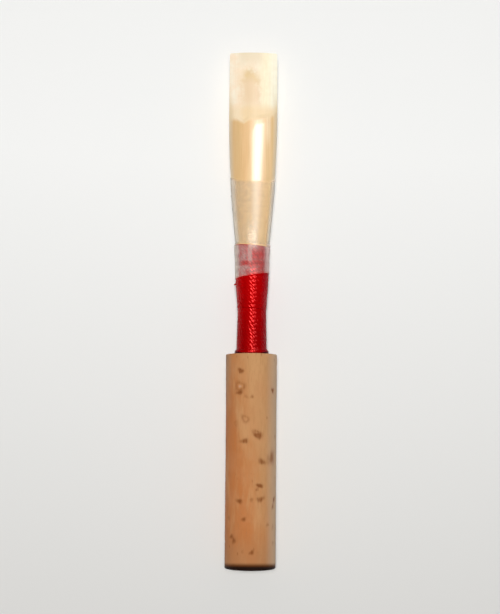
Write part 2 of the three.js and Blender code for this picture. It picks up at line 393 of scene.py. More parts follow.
# Sizes that the pieces share
stapleSizes = {
    "length": 46.0,
    "footDiameter": 5.14,
    "mouthWidth": 3.66,
    "mouthDepth": 2.52,
    "wall": 0.3,
    "ovalLength": 12.0,  # stretch below the mouth in which round becomes oval
    "rimRounding": 0.12,
    "rimOutsideShare": 0.4,  # of the rounding; the inside has the rest
    "rimRows": (0.0, 0.03, 0.07),
    "spacing": 0.8,
    "sides": 96,
}
corkSizes = {
    "length": 29.0,
    "diameter": 7.05,
    "edge": 0.12,
    "edgeShares": (0.0, 0.12, 0.3, 0.52, 0.75, 1.0),
    "waist": 0.06,  # sanded off the radius, from the first to the second of these places below the top
    "waistBelowTop": (1, 9),
    "sides": 288,
    "spacing": 0.1,
}
caneSizes = {
    "widest": 6.8,
    "throat": 4.68,
    "tip": 6.74,
    "opening": 0.6,
    "corner": 0.25,
    "land": 0.25,  # how far in from the side the tips lie on each other
    "bark": 0.58,
    "butt": 0.3,
    "buttSide": 0.06,
    "boundSide": 0.28,
    "overlap": 10.2,
    "taper": 3.4,
    "buttWrap": 64.0,  # half the angle that the butt covers of the staple
    "closedWrap": 90.0,
    "closeBelowMouth": 3.0,
    "flareExponent": 1.88,
    "flareEndBelowTip": 9.0,
    "tipCurl": 2.0,  # 1 is half an ellipse, as at the staple; 2 is a flat parabola
}
threadSizes = {
    "belowMouth": 1.2,
    "throatEase": 2.4,
    "thickness": 0.205,  # the winding over the cane
    "pitch": 0.55,
    "climb": 0.6,  # stretch in which it rises from the staple onto the cane
    "slant": 0.6,  # the top turn lies lower on the right
    "slantBelowTop": (2.5, 0.2),
    "tieOff": 0.15,
    "tieOffLength": 0.8,
}

mouth = stapleSizes["length"]
butt = mouth - caneSizes["overlap"]
threadFoot = corkSizes["length"] + seatGap
threadTop = mouth - threadSizes["belowMouth"]
throatStart = threadTop - threadSizes["throatEase"]
flareEnd = reedLength - caneSizes["flareEndBelowTip"]


def stapleAxes(height):
    s = stapleSizes
    radius = mix(s["footDiameter"] / 2, (s["mouthWidth"] + s["mouthDepth"]) / 4, height / mouth)
    squeeze = soft(height, mouth - s["ovalLength"], mouth) * (s["mouthWidth"] - s["mouthDepth"]) / 4
    return radius + squeeze, radius - squeeze


def barkThickness(height):
    return mix(caneSizes["butt"], caneSizes["bark"], ramp(height, butt, butt + caneSizes["taper"]))


def caneHalfWidth(height):
    c = caneSizes
    if height < threadTop:
        side = mix(c["buttSide"], c["boundSide"], ramp(height, butt, butt + c["taper"]))
        bound = stapleAxes(min(height, mouth))[0] + seatGap + side
        return mix(bound, c["throat"] / 2, ramp(height, throatStart, threadTop))
    left = 1 - ramp(height, threadTop, flareEnd)
    flared = mix(c["widest"] / 2, c["throat"] / 2, left ** c["flareExponent"])
    drawn = (c["widest"] - c["tip"]) / 2 * ramp(height, flareEnd, reedLength)
    beyond = max(0.0, c["corner"] - (reedLength - height))
    return flared - drawn - (c["corner"] - math.sqrt(c["corner"] ** 2 - beyond ** 2))


def windway(height):
    wide, deep = (value + seatGap for value in stapleAxes(min(height, mouth)))
    if height <= mouth:
        return wide, deep
    share = ramp(height, mouth, reedLength)
    land = mix(caneHalfWidth(mouth) - wide, caneSizes["land"], share)
    return caneHalfWidth(height) - land, mix(deep, caneSizes["opening"] / 2, share)


def sectionCurl(height):
    return mix(1.0, caneSizes["tipCurl"], ramp(height, mouth, reedLength))


# Staple
def makeStaple():
    s = stapleSizes
    heights = [*s["rimRows"], *stations(s["rimRounding"], mouth, s["spacing"])]
    outer, inner = [], []
    for height in heights:
        wide, deep = stapleAxes(height)
        beyond = s["rimRounding"] - min(height, s["rimRounding"])
        eased = s["rimRounding"] - math.sqrt(max(0.0, s["rimRounding"] ** 2 - beyond ** 2))
        outside = eased * s["rimOutsideShare"]
        wall = s["wall"] - (eased - outside)
        for i in range(s["sides"]):
            angle = 2 * math.pi * i / s["sides"]
            across, up = math.sin(angle), math.cos(angle)
            outer.append(toFrame((wide - outside) * across, height, (deep - outside) * up))
            inner.append(toFrame((wide - wall) * across, height, (deep - wall) * up))
    piece = makeMesh("stapleTube", outer + inner, wallFaces(len(heights), s["sides"], True))
    piece.data.materials.append(brassMaterial())
    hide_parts("staple_tube")
    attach(piece, "root")


brassLook = {
    "low": "b08a4a",
    "high": "d9b872",
    "tarnish": "8f6c3c",
    "tarnishShare": 0.6,
    "rough": (0.0, 1.0, 0.24, 0.5),
    "drawMarks": 0.004,
}


def brassMaterial():
    look = brassLook
    material, tree, shader = startMaterial("drawnBrass", Metallic=1.0)
    point = whereOnReed(tree)[0]
    drawn = effect(tree, grainGroup, point, width=0.06, length=20.0, contrast=1.6)
    dull = effect(tree, patchGroup, point, size=1.6, low=0.42, high=0.66)
    tone = colours(tree, drawn, paint(look["low"]), paint(look["high"]))
    tone = colours(tree, times(tree, dull, look["tarnishShare"]), tone, paint(look["tarnish"]))
    rough = rise(tree, dull, *look["rough"])
    feed(tree, shader, Base_Color=tone, Roughness=rough, Normal=bump(tree, drawn, look["drawMarks"]))
    return material


makeStaple()
print("staple made")


# Cane blades
layShape = {
    "length": 9.6,  # scraped stretch behind the tip, along the middle
    "riseRight": 1.1,  # how much shorter it is at the sides
    "riseLeft": 0.25,
    "notch": 0.55,  # the scrape reaches further back at one place on the left
    "notchAt": -0.4,
    "notchWidth": 0.16,
    "waves": ((0.07, 1.7, 3.1, 9.7), (0.05, 5, 7.7, 1.9)),  # depth, how often a mm, seeds front and back
    "step": 0.8,
    "tipThickness": 0.1,
    "railThickness": 0.36,
    "fall": 0.8,
    "heartRise": 0.17,
    "heartHalfWidth": 1.65,
    "heartBelowTip": 2.3,
    "heartArch": 0.9,
    "heartFade": 1.0,
    "knifeMarks": 0.006,
    "knifeMarksPerMm": (2.2, 0.5),
    "knifeMarkSeeds": (4.0, 8.0),
    "knifeMarksFromTip": (0.5, 3),
    "blur": 0.28,  # half the stretch in which bark gives way to wood, and what the sides have more
    "blurAtSides": 0.2,
    "blurMiddle": -0.2,
    "blurSides": (0.8, 2.6),
    "glazeBelow": 0.65,  # the bark's glaze starts this far behind the scrape, and further at its left
    "glazeCorner": 0.9,
    "glazeCornerAcross": (-0.1, 0.4),
    "glazeEdge": (0.12, 0.15),
}
bladeMesh = {
    "columns": 88,
    "rowSpacings": (0.4, 0.25, 0.07, 0.11),  # under the thread, on the bark, about the shoulder, on the lay
    "shoulderRows": (10.8, 8.0),  # from the tip
    "cornerShares": (0.8, 0.6, 0.42, 0.27, 0.15, 0.06, 0.0),
    "sharpAngle": 35,
}


def shoulderAt(across, front):
    s = layShape
    share = across / (caneSizes["widest"] / 2)
    if not front:
        share = -share
    uneven = sum(deep * wobble(across * often, a if front else b) for deep, often, a, b in s["waves"])
    if share > 0:
        return s["length"] - s["riseRight"] * share ** 2 + uneven
    notch = s["notch"] * math.exp(-(((share - s["notchAt"]) / s["notchWidth"]) ** 2)) if front else 0.0
    return s["length"] - s["riseLeft"] * share ** 2 + notch + uneven


def layThickness(fromTip, across):
    s = layShape
    offMiddle = abs(across) / s["heartHalfWidth"]
    rails = mix(s["tipThickness"], s["railThickness"], (fromTip / s["length"]) ** s["fall"])
    heartEnd = s["heartBelowTip"] + s["heartArch"] * offMiddle ** 2
    heart = (1 - soft(offMiddle, 0, 1)) * soft(fromTip, heartEnd, heartEnd + s["heartFade"])
    return rails + s["heartRise"] * heart


def woodThickness(height, across, front):
    s = layShape
    fromTip = reedLength - height
    bark = barkThickness(height)
    shoulder = shoulderAt(across, front)
    barkLeft = soft(fromTip, shoulder - s["step"] / 2, shoulder + s["step"] / 2)
    aside, along = s["knifeMarksPerMm"]
    marks = wobble(across * aside, height * along, s["knifeMarkSeeds"][0 if front else 1])
    scraped = layThickness(min(fromTip, s["length"]), across)
    scraped += s["knifeMarks"] * marks * soft(fromTip, *s["knifeMarksFromTip"])
    return mix(min(bark, scraped), bark, barkLeft)


def makeBlade(name, node, front):
    c, s, m = caneSizes, layShape, bladeMesh
    stops = (threadTop, *(reedLength - fromTip for fromTip in m["shoulderRows"]), reedLength - c["corner"])
    heights = [butt]
    for stop, spacing in zip(stops, m["rowSpacings"]):
        heights += stations(heights[-1], stop, spacing)[1:]
    heights += [reedLength - c["corner"] * share for share in m["cornerShares"]]
    side = 1 if front else -1
    outer, inner = [], []
    masks = {"bark": [], "glaze": [], "margin": [], "outside": []}
    for height in heights:
        half = caneHalfWidth(height)
        wide, deep = windway(height)
        curl = sectionCurl(height)
        closed = ramp(height, butt, mouth - c["closeBelowMouth"])
        wrap = math.radians(mix(c["buttWrap"], c["closedWrap"], closed))
        fromTip = reedLength - height
        for j in range(m["columns"] + 1):
            angle = mix(-wrap, wrap, j / m["columns"])
            lift = max(0.0, math.cos(angle)) ** curl
            across = side * half * math.sin(angle)
            wood = woodThickness(height, across, front)
            outer.append(toFrame(across, height, side * (seatGap / 2 + (deep + wood) * lift)))
            inner.append(toFrame(side * wide * math.sin(angle), height, side * (seatGap / 2 + deep * lift)))
            bareWood = shoulderAt(across, front) + s["step"] / 2
            blur = s["blur"] + s["blurAtSides"] * ramp(abs(across - s["blurMiddle"]), *s["blurSides"])
            cornered = 1 - soft(across, *s["glazeCornerAcross"])
            glazed = bareWood + s["glazeBelow"] + s["glazeCorner"] * cornered
            masks["bark"].append(soft(fromTip, bareWood - blur, bareWood + blur))
            masks["glaze"].append(soft(fromTip, glazed - s["glazeEdge"][0], glazed + s["glazeEdge"][1]))
            masks["margin"].append(abs(math.sin(angle)))
            masks["outside"].append(1.0)
    masks = {label: values + [0.0] * len(inner) for label, values in masks.items()}
    faces = wallFaces(len(heights), m["columns"] + 1, False)
    piece = makeMesh(name, outer + inner, faces, m["sharpAngle"], masks)
    piece.data.materials.append(caneMaterial(name + "Cane", front))
    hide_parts(node)
    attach(piece, "root")


# Colours, shares and zones; a zone runs in mm, or in shares of a texture or mask
caneLook = {
    "seeds": (0.0, 5.3),  # front and back
    "layPale": "fff2da",
    "layWarm": "ffe8ca",
    "layYellow": ("fff3d0", 0.1, 1.6),
    # painted light: the lay's right side paler, as lit from the right
    "layLitRight": ("fffae2", 1.8, 3.0),
    "layFibre": "e9cfa4",
    "layFibreZone": (0.35, 0.8, 0.0, 0.16),
    "layMottle": 0.14,
    "heart": "eccd99",
    "heartPeach": ("f3d5ae", 3.0, 4.8),
    "heartMiddles": (-0.42, 0.3),  # front and back
    "heartUneven": (0.35, 0.7),  # by broad streaks and by mottling
    "heartSide": (0.5, 2.0, 1.0, 0.0),
    "heartArch": 0.28,
    "heartLean": (-0.5, 0.3, 0.0, 0.45),
    "heartTop": (1.5, 3.4),
    "heartFades": (6.4, 9.2, 1.0, 0.55),
    "behindHeart": "f7d9a9",
    "behindFromTip": (7.2, 8.8),
    "behindAcross": (-2.2, -0.9, 0.55, 0.9),
    "tip": "ebd8b6",
    "tipFromTip": (0.4, 3.0, 0.8, 0.0),
    "tipAcross": (0.9, 2.4, 1.0, 0.1),
    "side": "e6cfa8",  # the lay's two sides, towards the shoulder
    "sideAcross": (2.5, 3.3),
    "sideFromTip": (5.2, 9.0, 0.0, 0.8),
    "bark": "f0c993",
    "barkShare": 0.3,
    "barkLight": "ffdca8",
    "barkOchre": "e6b878",
    "barkOlive": "d8ba7e",
    "barkOrange": "f2c08c",
    "barkHueShare": 0.38,
    # painted shade and light: the bark darker at its left and paler at its right, as the light falls from
    # the right
    "barkLeft": ("d5b080", -3.3, -0.3, 0.5, 0.0),
    "barkLitRight": ("ffdca8", 1.9, 2.6, 0.0, 0.35),
    # painted highlight: a faint second strip of reflected light, right of the main one
    "barkGlint": "ffe6c0",
    "glintAt": 2.15,
    "glintAcross": (0.1, 0.5, 0.6, 0.0),
    "glintFromTip": (11.5, 14.5, 1.0, 0.15),
    "barkFibre": ("dcae72", 0.3, 0.85, 0.0, 0.35),
    # painted sheen: the bark paler and greyer where it curves away at the edges
    "barkEdgeSheen": ("e2d0b4", 0.78, 1.0, 0.0, 0.85),
    "fleck": "b98b54",
    "fleckShare": 0.25,
    "inside": "f3ddb4",
    "insideFibre": "e6c995",
    "rough": (0.0, 1.0, 0.62, 0.38),  # of the lay and of the bark
    "fibreRelief": (0.0, 1.0, 1.0, 0.12),
    "relief": 0.012,
    "glaze": 0.3,
    "glazeAboveThread": (8.3, 8.5),  # the film covers what is lower
}


def caneMaterial(name, front):
    look = caneLook
    which = 0 if front else 1
    seed = look["seeds"][which]
    material, tree, shader = startMaterial(name, Coat_Roughness=0.22, Coat_IOR=1.5, Specular_IOR_Level=0.3)
    point, across, height, _ = whereOnReed(tree)
    fromTip = minus(tree, reedLength, height)
    bark = mask(tree, "bark")
    fibres = effect(tree, grainGroup, point, width=0.16, length=9.0, seed=seed, contrast=1.7)
    broad = effect(tree, grainGroup, point, width=0.75, length=14.0, seed=seed + 2, contrast=1.8)
    cloud = effect(tree, patchGroup, point, size=1.5, seed=seed, low=0.35, high=0.68)
    mottle = effect(tree, patchGroup, point, size=0.7, seed=seed + 4, low=0.3, high=0.7)

    # The lay: pale, with painted light making it paler to the right, and the heart left thicker and darker
    lay = colours(tree, cloud, paint(look["layPale"]), paint(look["layWarm"]))
    lay = tint(tree, lay, across, *look["layYellow"])
    lay = tint(tree, lay, across, *look["layLitRight"])
    middle = away(tree, across, look["heartMiddles"][which])
    byStreaks, byMottle = look["heartUneven"]
    uneven = plus(tree, swing(tree, broad, byStreaks), swing(tree, mottle, byMottle))
    arch = times(tree, times(tree, middle, middle), look["heartArch"])
    fromArch = minus(tree, minus(tree, fromTip, arch), rise(tree, across, *look["heartLean"]))
    sideways, endways = plus(tree, middle, uneven), plus(tree, fromArch, uneven)
    heart = both(tree, sideways, look["heartSide"], endways, look["heartTop"])
    heart = times(tree, heart, rise(tree, fromTip, *look["heartFades"]))
    lay = colours(tree, heart, lay, tint(tree, paint(look["heart"]), fromArch, *look["heartPeach"]))
    behind = both(tree, fromTip, look["behindFromTip"], across, look["behindAcross"])
    lay = colours(tree, behind, lay, paint(look["behindHeart"]))
    lay = tint(tree, lay, fibres, look["layFibre"], *look["layFibreZone"])
    lay = colours(tree, times(tree, mottle, look["layMottle"]), lay, paint(look["layFibre"]))
    atTip = both(tree, fromTip, look["tipFromTip"], middle, look["tipAcross"])
    lay = colours(tree, atTip, lay, paint(look["tip"]))
    atSide = both(tree, sums(tree, "ABSOLUTE", across), look["sideAcross"], fromTip, look["sideFromTip"])
    lay = colours(tree, atSide, lay, paint(look["side"]))

    # The bark: golden, fibrous and naturally glazed; painted shade at its left, painted light at its right,
    # a painted highlight streak and painted sheen at its edges
    skin = colours(tree, broad, paint(look["barkOchre"]), paint(look["barkLight"]))
    skin = colours(tree, look["barkShare"], skin, paint(look["bark"]))
    zones = effect(tree, grainGroup, point, width=0.9, length=22.0, seed=seed + 6, contrast=2.4)
    hue = colours(tree, zones, paint(look["barkOlive"]), paint(look["barkOrange"]))
    skin = colours(tree, look["barkHueShare"], skin, hue)
    skin = tint(tree, skin, across, *look["barkLeft"])
    skin = tint(tree, skin, across, *look["barkLitRight"])
    fromGlint = away(tree, across, look["glintAt"])
    glint = both(tree, fromGlint, look["glintAcross"], fromTip, look["glintFromTip"])
    skin = colours(tree, glint, skin, paint(look["barkGlint"]))
    skin = tint(tree, skin, fibres, *look["barkFibre"])
    skin = tint(tree, skin, mask(tree, "margin"), *look["barkEdgeSheen"])
    flecks = effect(tree, fleckGroup, point, spacing=0.8, stretch=5.0, size=0.12, share=0.25)
    skin = colours(tree, times(tree, flecks, look["fleckShare"]), skin, paint(look["fleck"]))
    gouged = colours(tree, fibres, paint(look["inside"]), paint(look["insideFibre"]))
    tone = colours(tree, mask(tree, "outside"), gouged, colours(tree, bark, lay, skin))

    bare = rise(tree, height, *(threadTop + above for above in look["glazeAboveThread"]))
    glaze = times(tree, mask(tree, "glaze"), times(tree, bare, look["glaze"]))
    relief = times(tree, fibres, rise(tree, bark, *look["fibreRelief"]))
    feed(tree, shader, Base_Color=tone, Roughness=rise(tree, bark, *look["rough"]), Coat_Weight=glaze)
    feed(tree, shader, Normal=bump(tree, relief, look["relief"]))
    return material


makeBlade("frontBlade", "front_blade", True)
makeBlade("backBlade", "back_blade", False)
print("blades made")


# Cork sleeve
# Lenticels that show on the front: angle round the cork, height, size across and along, depth of
# tone, and how much paler the middle is
frontLenticels = [
    (-24.5, 26.6, 0.8, 0.56, 1.2, 0.0),
    (-26.6, 24.5, 1.15, 1.2, 0.95, 0.9),
    (-27.4, 23.6, 0.8, 0.5, 0.9, 0.0),
    (57.5, 24.0, 0.62, 0.56, 1.15, 0.0),
    (1.8, 23.1, 0.56, 0.44, 0.7, 0.0),
    (-12.0, 23.1, 0.55, 0.44, 0.5, 0.0),
    (-12.6, 20.1, 0.95, 0.9, 0.85, 0.55),
    (-36.5, 19.5, 0.6, 0.7, 0.6, 0.3),
    (12.0, 18.25, 1.0, 0.74, 0.95, 0.4),
    (17.8, 17.75, 0.78, 0.76, 1.0, 0.0),
    (-14.6, 17.15, 0.95, 0.66, 0.95, 0.0),
    (71.4, 17.7, 0.4, 0.66, 0.6, 0.0),
    (54.6, 14.9, 1.3, 1.9, 0.75, 0.0),
    (25.4, 14.4, 0.92, 0.66, 0.95, 0.1),
    (17.8, 11.3, 0.55, 0.5, 0.8, 0.0),
    (24.2, 11.15, 0.6, 0.46, 0.85, 0.0),
    (14.8, 10.7, 0.5, 0.4, 0.6, 0.0),
    (-25.8, 9.15, 0.76, 0.6, 1.0, 0.0),
    (1.9, 9.35, 0.5, 0.5, 0.55, 0.0),
    (22.5, 9.4, 0.88, 0.68, 1.0, 0.0),
    (66.0, 9.3, 0.5, 0.7, 1.0, 0.0),
    (60.0, 8.35, 0.5, 0.75, 0.7, 0.0),
    (-15.0, 6.75, 0.56, 0.56, 0.9, 0.0),
    (-57.0, 6.8, 0.5, 0.8, 0.5, 0.0),
    (41.4, 6.0, 0.52, 0.52, 0.5, 0.0),
    (59.4, 5.7, 0.46, 0.85, 0.42, 0.0),
    (-47.4, 4.4, 0.66, 0.54, 0.85, 0.0),
    (-39.8, 3.85, 0.54, 0.84, 0.85, 0.0),
    (60.6, 3.5, 0.42, 0.7, 0.4, 0.0),
    (-17.4, 2.5, 0.5, 0.5, 0.4, 0.0),
    (3.0, 2.4, 0.58, 0.52, 1.0, 0.0),
]
lenticelShape = {
    "seed": 11,
    "unseen": 70,  # further ones, drawn at random from these ranges
    "unseenAngles": (82, 278),
    "unseenFromEnds": (1.2, 0.8),
    "unseenPale": (-1.2, 0.8),
    "unseenSizes": (0.35, 0.95),
    "unseenDepths": (0.25, 0.9),
    "twoLobes": 0.14,
    "threeLobes": 0.12,
    "edge": 2.2,
    "paleReach": 0.55,
    "paleEdge": 3,
    "paleDepth": 1.5,
    "tones": (-0.8, 1),
    "pitDepth": 0.05,
    "pitCurve": 1.5,
    "roughness": 0.012,
    "roughTurns": 7,
    "roughAlong": 0.2,
    "roughEnds": 0.3,  # three times as rough this near to the ends
}


def listLenticels():
    s = lenticelShape
    draw = random.Random(s["seed"])
    low, high = s["unseenFromEnds"]
    spots = list(frontLenticels)
    while len(spots) < len(frontLenticels) + s["unseen"]:
        angle = draw.uniform(*s["unseenAngles"])
        height = draw.uniform(low, corkSizes["length"] - high)
        pale = max(0.0, draw.uniform(*s["unseenPale"]))
        across, along = draw.uniform(*s["unseenSizes"]), draw.uniform(*s["unseenSizes"])
        spots.append((angle, height, across, along, draw.uniform(*s["unseenDepths"]), pale))
    return spots


# How dark the lenticels make each point, row by row; below 0 is paler than the cork
def lenticelTones(heights, angles, radius):
    s = lenticelShape
    tone = np.zeros((len(heights), len(angles)))
    for angle, height, across, along, depth, pale in listLenticels():
        turn = (angles - math.radians(angle) + np.pi) % (2 * np.pi) - np.pi
        u = (turn * radius)[None, :] / (across / 2)
        v = (np.array(heights) - height)[:, None] / (along / 2)
        bearing = np.arctan2(v, u)
        bend = s["twoLobes"] * np.sin(2 * bearing + angle)
        bend += s["threeLobes"] * np.sin(3 * bearing + height * 3)
        reach = np.sqrt(u * u + v * v) * (1 + bend)
        paler = s["paleDepth"] * pale * 0.5 ** ((reach / s["paleReach"]) ** s["paleEdge"])
        tone += depth * (0.5 ** (reach ** s["edge"]) - paler)
    return np.clip(tone, *s["tones"])


def makeCork():
    c, s = corkSizes, lenticelShape
    radius = c["diameter"] / 2
    sides = c["sides"]
    rim = [c["edge"] * share for share in c["edgeShares"]]
    heights = rim + stations(c["edge"], c["length"] - c["edge"], c["spacing"])[1:-1]
    heights += [c["length"] - height for height in reversed(rim)]
    angles = np.arange(sides) * 2 * np.pi / sides
    tone = lenticelTones(heights, angles, radius)
    outer, inner, masks = [], [], {"lenticel": []}
    for i, height in enumerate(heights):
        nearEnd = min(height, c["length"] - height)
        beyond = c["edge"] - min(nearEnd, c["edge"])
        eased = c["edge"] - math.sqrt(max(0.0, c["edge"] ** 2 - beyond ** 2))
        waist = c["waist"] * soft(c["length"] - height, *c["waistBelowTop"])
        for j, angle in enumerate(angles):
            across, up = math.sin(angle), math.cos(angle)
            uneven = abs(wobble(across * s["roughTurns"], up * s["roughTurns"], height * s["roughAlong"]))
            ragged = s["roughness"] * uneven * (1 + 2 * (nearEnd < s["roughEnds"]))
            pit = s["pitDepth"] * max(0.0, tone[i, j]) ** s["pitCurve"]
            reach = radius - eased - ragged - pit - waist
            outer.append(toFrame(reach * across, height, reach * up))
            masks["lenticel"].append(tone[i, j])
    boreHeights = (0.0, c["length"])  # the bore is a plain cone
    for height in boreHeights:
        wide, deep = (value + seatGap for value in stapleAxes(height))
        for angle in angles:
            inner.append(toFrame(wide * math.sin(angle), height, deep * math.cos(angle)))
            masks["lenticel"].append(0.0)
    faces = wallFaces(len(heights), sides, True, len(boreHeights))
    piece = makeMesh("corkSleeve", outer + inner, faces, sharpAngle=50, masks=masks)
    piece.data.materials.append(corkMaterial())
    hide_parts("cork_sleeve")
    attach(piece, "root")


corkLook = {
    "orange": "bc7542",
    "tan": ("c29161", -0.8, 3.9),
    "climb": 0.15,  # how the border of orange and tan leans, and how streaks and clouds shift it
    "climbFrom": 11.0,
    "streakShift": 2.0,
    "cloudShift": 0.6,
    "pale": ("cb9b6a", 0.45, 0.9, 0.0, 0.45),
    "grain": ("a5744a", 0.4, 0.9, 0.0, 0.25),
    "cloud": "c4895c",
    "cloudShare": 0.3,
    "foot": ("ad7a50", 0.3, 6.5, 0.7, 0.0),
    # painted sheen: the cork greyer and paler up its right side
    "right": ("c8ac8f", 1.8, 3.4, 0.0, 0.75),
    "topLeft": "a88d6e",
    "topLeftAcross": (-3.5, -2.4, 0.6, 0.0),
    "topLeftHeight": (19.0, 28.0),
    "topLeftRise": (-1.0, 1.0),
    "cell": "8d6039",
    "cellShare": 0.16,
    "poreShare": 0.5,
    "lenticel": "844a22",
    "lenticelZone": (0.0, 1.1, 0.0, 0.92),
    "lenticelPale": ("c9a183", 0.0, -0.5, 0.0, 0.8),
    "raggedEdge": 0.8,
    "darkBandSide": 0.4,  # how high it reaches at the sides, and how much higher on the front
    "darkBandFront": 0.38,
    "darkBandEdge": ("5a3214", -0.14, 0.4, 1.0, 0.0),
    "darkBand": ("1c0d05", -0.36, -0.04, 1.0, 0.0),
    "grainRelief": 0.6,
    "cellRelief": -0.5,
    "relief": 0.03,
}


def corkMaterial():
    look = corkLook
    plain = {"Roughness": 0.85, "Specular_IOR_Level": 0.05, "Sheen_Weight": 0.08, "Sheen_Roughness": 0.5}
    material, tree, shader = startMaterial("sandedCork", **plain)
    point, across, height, up = whereOnReed(tree)
    broad = effect(tree, grainGroup, point, width=1.5, length=8.0, seed=1.0, contrast=2.2)
    fine = effect(tree, grainGroup, point, width=0.22, length=1.3, seed=4.0, contrast=1.8)
    cloud = effect(tree, patchGroup, point, size=2.6, seed=3.0, low=0.35, high=0.7)
    cells = effect(tree, fleckGroup, point, spacing=0.16, stretch=1.3, size=0.35, share=0.6)
    pores = effect(tree, fleckGroup, point, spacing=1.0, stretch=2.2, size=0.16, share=0.5)
    climb = times(tree, minus(tree, height, look["climbFrom"]), look["climb"])
    side = plus(tree, plus(tree, across, climb), times(tree, broad, look["streakShift"]))
    side = plus(tree, side, times(tree, cloud, look["cloudShift"]))
    tone = tint(tree, paint(look["orange"]), side, *look["tan"])
    tone = tint(tree, tone, broad, *look["pale"])
    tone = tint(tree, tone, fine, *look["grain"])
    tone = colours(tree, times(tree, cloud, look["cloudShare"]), tone, paint(look["cloud"]))
    tone = tint(tree, tone, height, *look["foot"])
    tone = tint(tree, tone, across, *look["right"])
    upper = both(tree, across, look["topLeftAcross"], height, look["topLeftHeight"])
    upper = times(tree, upper, rise(tree, up, *look["topLeftRise"]))
    tone = colours(tree, upper, tone, paint(look["topLeft"]))
    tone = colours(tree, times(tree, cells, look["cellShare"]), tone, paint(look["cell"]))
    tone = colours(tree, times(tree, pores, look["poreShare"]), tone, paint(look["lenticel"]))
    spots = mask(tree, "lenticel")
    tone = tint(tree, tone, spots, *look["lenticelPale"])
    ragged = times(tree, spots, plus(tree, 1.0, swing(tree, fine, look["raggedEdge"])))
    tone = tint(tree, tone, ragged, look["lenticel"], *look["lenticelZone"])

    # A dark band painted round the foot's edge, deeper on the front
    front = over(tree, up, corkSizes["diameter"] / 2)
    deep = plus(tree, times(tree, front, look["darkBandFront"]), look["darkBandSide"])
    above = minus(tree, height, deep)
    tone = tint(tree, tone, above, *look["darkBandEdge"])
    tone = tint(tree, tone, above, *look["darkBand"])
    grain = plus(tree, times(tree, fine, look["grainRelief"]), times(tree, cells, look["cellRelief"]))
    feed(tree, shader, Base_Color=tone, Normal=bump(tree, grain, look["relief"]))
    return material


makeCork()
print("cork made")


# Thread
strandShape = {
    "stepsPerTurn": 144,
    "sides": 18,
    "plySpacing": 0.52,  # along the strand, from one twisted ply to the next
    "plySlope": 1.1,
    "plyRelief": 0.075,
    "plyEdge": 1.15,
    "topTurnBelow": 0.62,  # middle of the top turn, from the place where the film comes down
    "overlap": 1.24,  # a turn's width over the pitch, so that turns press together
    "drift": (0.02, 0.35, 2.0),  # how uneven the turns' heights are: size, how often, seed
    "sway": (0.012, 0.5, 6.0),  # and how uneven their depths
    "hitchTurns": 1.7,
    "hitchStart": 2.4,
    "hitchHeight": 0.04,
    "hitchShare": 0.9,
    "hitchLift": 0.14,
    "core": 0.09,
    "coreSides": 96,
    "coreSpacing": 0.3,
    "fuzzAt": 38.86,  # a stub of fibre stands out at the left, just below the film
    "fuzzRoot": 0.1,
    "fuzzReach": 0.17,
    "fuzzDroop": 0.16,
    "fuzzSize": 0.1,
    "fuzzStep": 0.1,
}


def ground(height):
    caneHeight = max(height, butt)
    cane = (caneHalfWidth(caneHeight), seatGap / 2 + windway(caneHeight)[1] + barkThickness(caneHeight))
    staple = stapleAxes(height)
    share = ramp(height, butt - threadSizes["climb"], butt)
    return mix(staple[0], cane[0], share), mix(staple[1], cane[1], share)


def threadSurface(height):
    t = threadSizes
    tieOff = t["tieOff"] * (1 - ramp(height, threadFoot, threadFoot + t["tieOffLength"]))
    wide, deep = ground(height)
    return wide + t["thickness"] + tieOff, deep + t["thickness"] + tieOff


# How far the winding's turns slope down to the right near its top
def leanAt(angle, height):
    low, high = threadSizes["slantBelowTop"]
    share = soft(height, threadTop - low, threadTop - high)
    return -threadSizes["slant"] / 2 * (math.sin(angle) * 0.5 + 0.5) * share


def threadLine(low, high, turns, lift=0.0, phase=0.0, level=0.0):
    line, outward = [], []
    steps = strandShape["stepsPerTurn"]
    core = threadSizes["thickness"] / 2
    driftSize, driftRate, driftSeed = strandShape["drift"]
    swaySize, swayRate, swaySeed = strandShape["sway"]
    for i in range(round(turns * steps) + 1):
        turn = 2 * math.pi * (i / steps) + phase
        height = mix(low, high, max(0.0, i / steps - level) / (turns - level))
        height += driftSize * wobble(turn * driftRate, driftSeed)
        wide, deep = threadSurface(height)
        sway = lift - core + swaySize * wobble(turn * swayRate, swaySeed)
        across, up = -math.sin(turn), math.cos(turn)
        lean = leanAt(-turn, height)
        line.append(Vector(((wide + sway) * across, height + lean, (deep + sway) * up)))
        outward.append(Vector((across / wide, 0, up / deep)).normalized())
    return line, outward


# Depth of the groove between two plies, along the strand and aside from its middle
def plyGroove(run, aside):
    s = strandShape
    ply = (run + aside / s["plySlope"]) / s["plySpacing"]
    return s["plyRelief"] * (1 - abs(math.cos(math.pi * ply))) ** s["plyEdge"]


def addStrand(points, faces, line, outward, across, through, groove=plyGroove):
    sides = strandShape["sides"]
    start = len(points)
    rings = rodRings(line, outward, across, through, sides, groove)
    points += [toFrame(p.x, p.y, p.z) for p in rings]
    faces += [tuple(start + i for i in face) for face in rodFaces(len(line), sides)]


# What lies under the outer turns
def addCore(points, faces, high):
    s = strandShape
    heights = stations(threadFoot, high, s["coreSpacing"])
    outer, inner = [], []
    for height in heights:
        wide, deep = ground(height)
        for i in range(s["coreSides"]):
            angle = 2 * math.pi * i / s["coreSides"]
            across, up = math.sin(angle), math.cos(angle)
            outer.append(toFrame((wide + s["core"]) * across, height, (deep + s["core"]) * up))
            inner.append(toFrame((wide + seatGap) * across, height, (deep + seatGap) * up))
    start = len(points)
    points += outer + inner
    faces += [tuple(start + i for i in face) for face in wallFaces(len(heights), s["coreSides"], True)]


